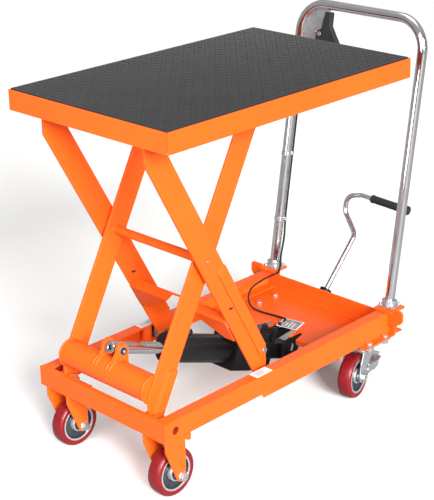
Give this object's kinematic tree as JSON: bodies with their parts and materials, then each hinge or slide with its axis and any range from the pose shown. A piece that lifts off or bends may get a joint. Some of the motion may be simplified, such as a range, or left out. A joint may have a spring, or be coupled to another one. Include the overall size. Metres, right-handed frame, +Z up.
{
  "type": "scissor lift table cart",
  "caption": "Foot-pumped hydraulic scissor lift cart with a rubber-topped tray, a bowed push handle, fixed front wheels and braked swivel casters.",
  "frame": {"origin": "middle of the footprint, on the floor", "axes": "+X toward the push handle, +Y to the left when facing the handle from the load end, +Z up"},
  "size_m": [0.9075, 0.458, 0.827],
  "materials": {
    "orange_paint": "satin powder coat",
    "chrome_plate": "polished",
    "zinc_plate": "bright zinc",
    "machined_steel": "turned",
    "red_polyurethane": "satin",
    "grey_rim": "satin",
    "black_paint": "semi-gloss",
    "black_rubber": "matte",
    "black_plastic": "matte",
    "clip_steel": "bright",
    "label_face": "matte"
  },
  "bodies": {
    "base": {"base_front_bar": "orange_paint", "base_side_rails": "orange_paint", "base_rear_cross": "orange_paint", "base_pan_floor": "orange_paint", "base_brackets": "orange_paint", "caster_mount_plates": "orange_paint", "front_forks": "orange_paint", "handle_brackets": "orange_paint", "handle_tube": "chrome_plate", "handle_collars": "zinc_plate", "handle_gusset": "zinc_plate", "caster_tops": "zinc_plate", "frame_bolts": "zinc_plate", "front_axle_bolts": "zinc_plate", "base_pivot_pins": "machined_steel", "release_cable": "black_rubber", "cable_clips": "clip_steel", "label_plates": "label_face"},
    "front_wheel_near": {"fwn_tyre": "red_polyurethane", "fwn_rim": "grey_rim"},
    "front_wheel_far": {"fwf_tyre": "red_polyurethane", "fwf_rim": "grey_rim"},
    "caster_near": {"cn_fork": "zinc_plate", "cn_axle": "zinc_plate"},
    "caster_far": {"cf_fork": "zinc_plate", "cf_axle": "zinc_plate"},
    "caster_wheel_near": {"cn_tyre": "red_polyurethane", "cn_rim": "grey_rim"},
    "caster_wheel_far": {"cf_tyre": "red_polyurethane", "cf_rim": "grey_rim"},
    "brake_near": {"cn_brake": "zinc_plate"},
    "brake_far": {"cf_brake": "zinc_plate"},
    "inner_arms": {"inner_arm_near": "orange_paint", "inner_arm_far": "orange_paint", "torque_tube": "orange_paint", "tie_tube": "orange_paint", "inner_arm_pins": "machined_steel", "ram_pin": "zinc_plate"},
    "outer_arms": {"outer_arm_near": "orange_paint", "outer_arm_far": "orange_paint", "outer_cross_plate": "orange_paint", "outer_arm_pins": "machined_steel"},
    "table": {"table_tray": "orange_paint", "table_mat": "black_rubber", "table_channels": "orange_paint", "table_pivot_brackets": "orange_paint", "table_pivot_pins": "machined_steel"},
    "lower_rollers": {"base_rollers": "machined_steel"},
    "upper_rollers": {"table_rollers": "machined_steel"},
    "rod": {"ram_rod": "chrome_plate"},
    "pump_unit": {"ram_barrel": "black_paint", "ram_gland": "black_paint", "pump_body": "black_paint"},
    "plunger": {"pump_plunger": "zinc_plate"},
    "pedal": {"pump_lever": "black_paint", "pedal_bar": "chrome_plate", "pedal_grip": "black_rubber"},
    "valve": {"valve_lever": "black_paint"},
    "hand_lever": {"release_lever": "black_plastic"}
  },
  "joints": [
    {"name": "lift", "type": "hinge", "parent": "base", "child": "inner_arms", "pos_m": [-0.4167, 0, 0.156], "axis": [0, 1, 0], "range_deg": [0, 56.8]},
    {"name": "arm_cross", "type": "hinge", "parent": "inner_arms", "child": "outer_arms", "pos_m": [-0.2727, 0, 0.4485], "axis": [0, 1, 0], "range_deg": [-114.1, 0.5]},
    {"name": "table_level", "type": "hinge", "parent": "outer_arms", "child": "table", "pos_m": [-0.4167, 0, 0.741], "axis": [0, 1, 0], "range_deg": [-0.5, 57.3]},
    {"name": "ram_swing", "type": "hinge", "parent": "inner_arms", "child": "rod", "pos_m": [-0.3987, 0, 0.265], "axis": [0, 1, 0], "range_deg": [-61.68, 0.5]},
    {"name": "ram_stroke", "type": "slide", "parent": "rod", "child": "pump_unit", "axis": [0.9373, 0, -0.3486], "range_m": [-0.09959, 0.0005]},
    {"name": "lower_roller_spin", "type": "hinge", "parent": "outer_arms", "child": "lower_rollers", "pos_m": [-0.1287, 0, 0.156], "axis": [0, 1, 0], "continuous": true},
    {"name": "upper_roller_spin", "type": "hinge", "parent": "inner_arms", "child": "upper_rollers", "pos_m": [-0.1287, 0, 0.741], "axis": [0, 1, 0], "continuous": true},
    {"name": "front_near_spin", "type": "hinge", "parent": "base", "child": "front_wheel_near", "pos_m": [-0.4032, -0.156, 0.051], "axis": [0, 1, 0], "continuous": true},
    {"name": "front_far_spin", "type": "hinge", "parent": "base", "child": "front_wheel_far", "pos_m": [-0.4032, 0.138, 0.051], "axis": [0, 1, 0], "continuous": true},
    {"name": "caster_near_swivel", "type": "hinge", "parent": "base", "child": "caster_near", "pos_m": [0.1883, -0.157, 0.11], "axis": [0, 0, 1], "continuous": true},
    {"name": "caster_near_spin", "type": "hinge", "parent": "caster_near", "child": "caster_wheel_near", "pos_m": [0.14933, -0.166, 0.051], "axis": [-0.225, 0.9744, 0], "continuous": true},
    {"name": "brake_near_press", "type": "hinge", "parent": "caster_near", "child": "brake_near", "pos_m": [0.17271, -0.1606, 0.06], "axis": [-0.225, 0.9744, 0], "range_deg": [0, 14]},
    {"name": "caster_far_swivel", "type": "hinge", "parent": "base", "child": "caster_far", "pos_m": [0.1883, 0.157, 0.11], "axis": [0, 0, 1], "continuous": true},
    {"name": "caster_far_spin", "type": "hinge", "parent": "caster_far", "child": "caster_wheel_far", "pos_m": [0.14852, 0.15282, 0.051], "axis": [-0.1045, 0.9945, 0], "continuous": true},
    {"name": "brake_far_press", "type": "hinge", "parent": "caster_far", "child": "brake_far", "pos_m": [0.17239, 0.15533, 0.06], "axis": [-0.1045, 0.9945, 0], "range_deg": [0, 14]},
    {"name": "pedal_press", "type": "hinge", "parent": "pump_unit", "child": "pedal", "pos_m": [0.02387, 0, 0.07584], "axis": [0, 1, 0], "range_deg": [0, 22], "stiffness_Nm_per_rad": 14, "springref_deg": -25.78},
    {"name": "plunger_slide", "type": "slide", "parent": "pump_unit", "child": "plunger", "axis": [0.3486, 0, 0.9373], "range_m": [-0.0005, 0.0075]},
    {"name": "hand_lever_pull", "type": "hinge", "parent": "base", "child": "hand_lever", "pos_m": [0.36191, 0.113, 0.74901], "axis": [0.9851, 0, -0.1719], "range_deg": [0, 10], "stiffness_Nm_per_rad": 2, "springref_deg": -14.32},
    {"name": "valve_turn", "type": "hinge", "parent": "pump_unit", "child": "valve", "pos_m": [0.00437, -0.023, 0.14391], "axis": [0, 1, 0], "range_deg": [-0.5, 8.5]}
  ],
  "couplings": [
    {"joint": "arm_cross", "follows": "lift", "ratio": -2},
    {"joint": "table_level", "follows": "lift", "ratio": 1},
    {"joint": "ram_swing", "follows": "lift", "ratio": -1.0771},
    {"joint": "ram_stroke", "follows": "lift", "m_per_rad": -0.099959},
    {"joint": "plunger_slide", "follows": "pedal_press", "m_per_rad": 0.0175},
    {"joint": "valve_turn", "follows": "hand_lever_pull", "ratio": 0.8}
  ]
}
